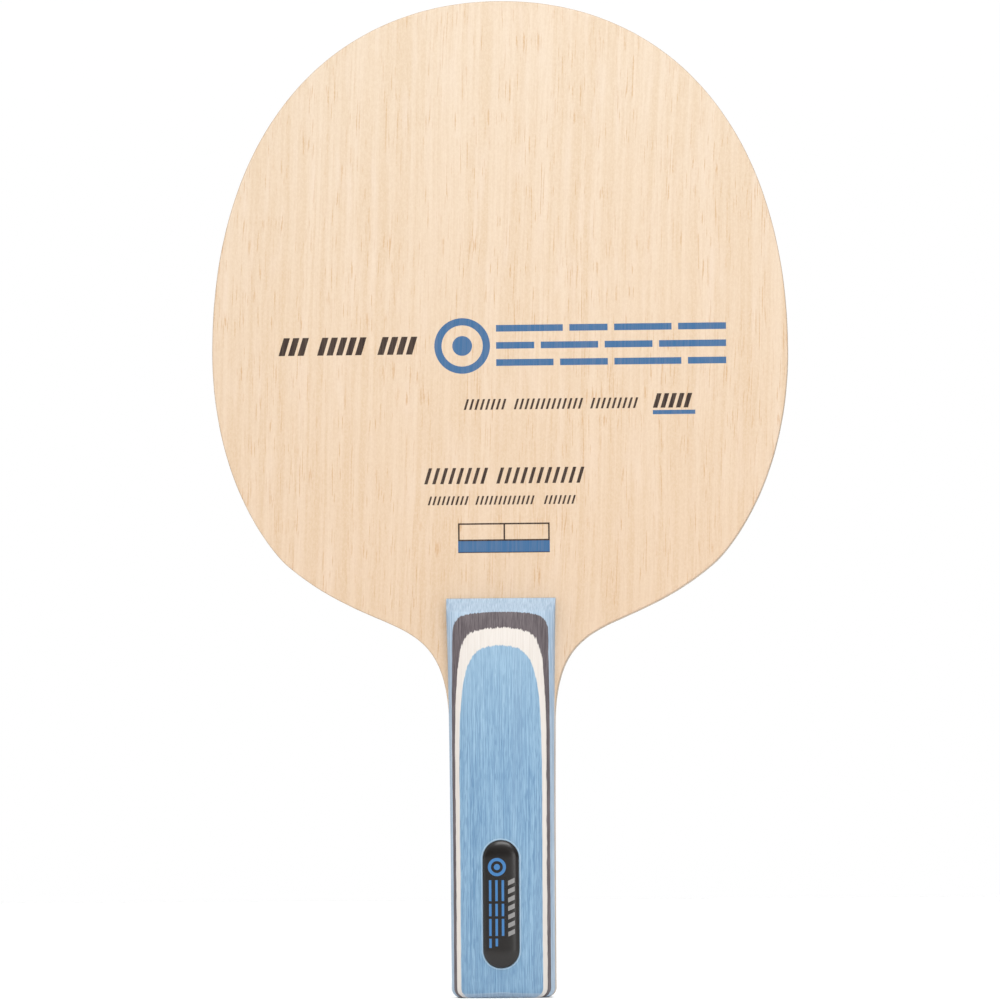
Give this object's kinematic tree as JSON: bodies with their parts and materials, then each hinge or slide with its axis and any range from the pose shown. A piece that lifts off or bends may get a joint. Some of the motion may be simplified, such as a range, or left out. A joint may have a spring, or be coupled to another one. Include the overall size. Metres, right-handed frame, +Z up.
{
  "type": "table tennis blade",
  "caption": "Bare table tennis blade: a rounded plywood head on a straight laminated handle with chamfered ends and a domed badge.",
  "frame": {"origin": "centre of the butt end, on the blade's mid-plane", "axes": "+Z runs up the handle to the tip of the head, -Y is the front with the badge, +X is to the right seen from the front"},
  "size_m": [0.151, 0.0235, 0.261],
  "materials": {
    "face_veneer": "sanded, thin satin seal",
    "inner_veneer": "sanded edge",
    "core_wood": "sanded edge",
    "carbon_weave": "resin-bonded weave, cut edge",
    "blue_grey_wood": "dyed, sanded, satin",
    "dark_stripe": "dyed, sanded, satin",
    "cream_stripe": "sanded, satin",
    "blue_wood": "dyed, sanded, satin",
    "adhesive_film": "matte",
    "badge_back": "satin",
    "badge_gloss": "glossy domed resin"
  },
  "bodies": {
    "root": {"face_ply_front": "face_veneer", "carbon_ply_front": "carbon_weave", "inner_ply_front": "inner_veneer", "core_ply": "core_wood", "inner_ply_rear": "inner_veneer", "carbon_ply_rear": "carbon_weave", "face_ply_rear": "face_veneer", "front_handle_base": "blue_grey_wood", "front_handle_dark_stripe": "dark_stripe", "front_handle_light_stripe": "cream_stripe", "front_handle_crown": "blue_wood", "rear_handle_base": "blue_grey_wood", "rear_handle_dark_stripe": "dark_stripe", "rear_handle_light_stripe": "cream_stripe", "rear_handle_crown": "blue_wood", "badge_adhesive": "adhesive_film", "badge_plate": "badge_back", "badge_dome": "badge_gloss"}
  },
  "joints": []
}
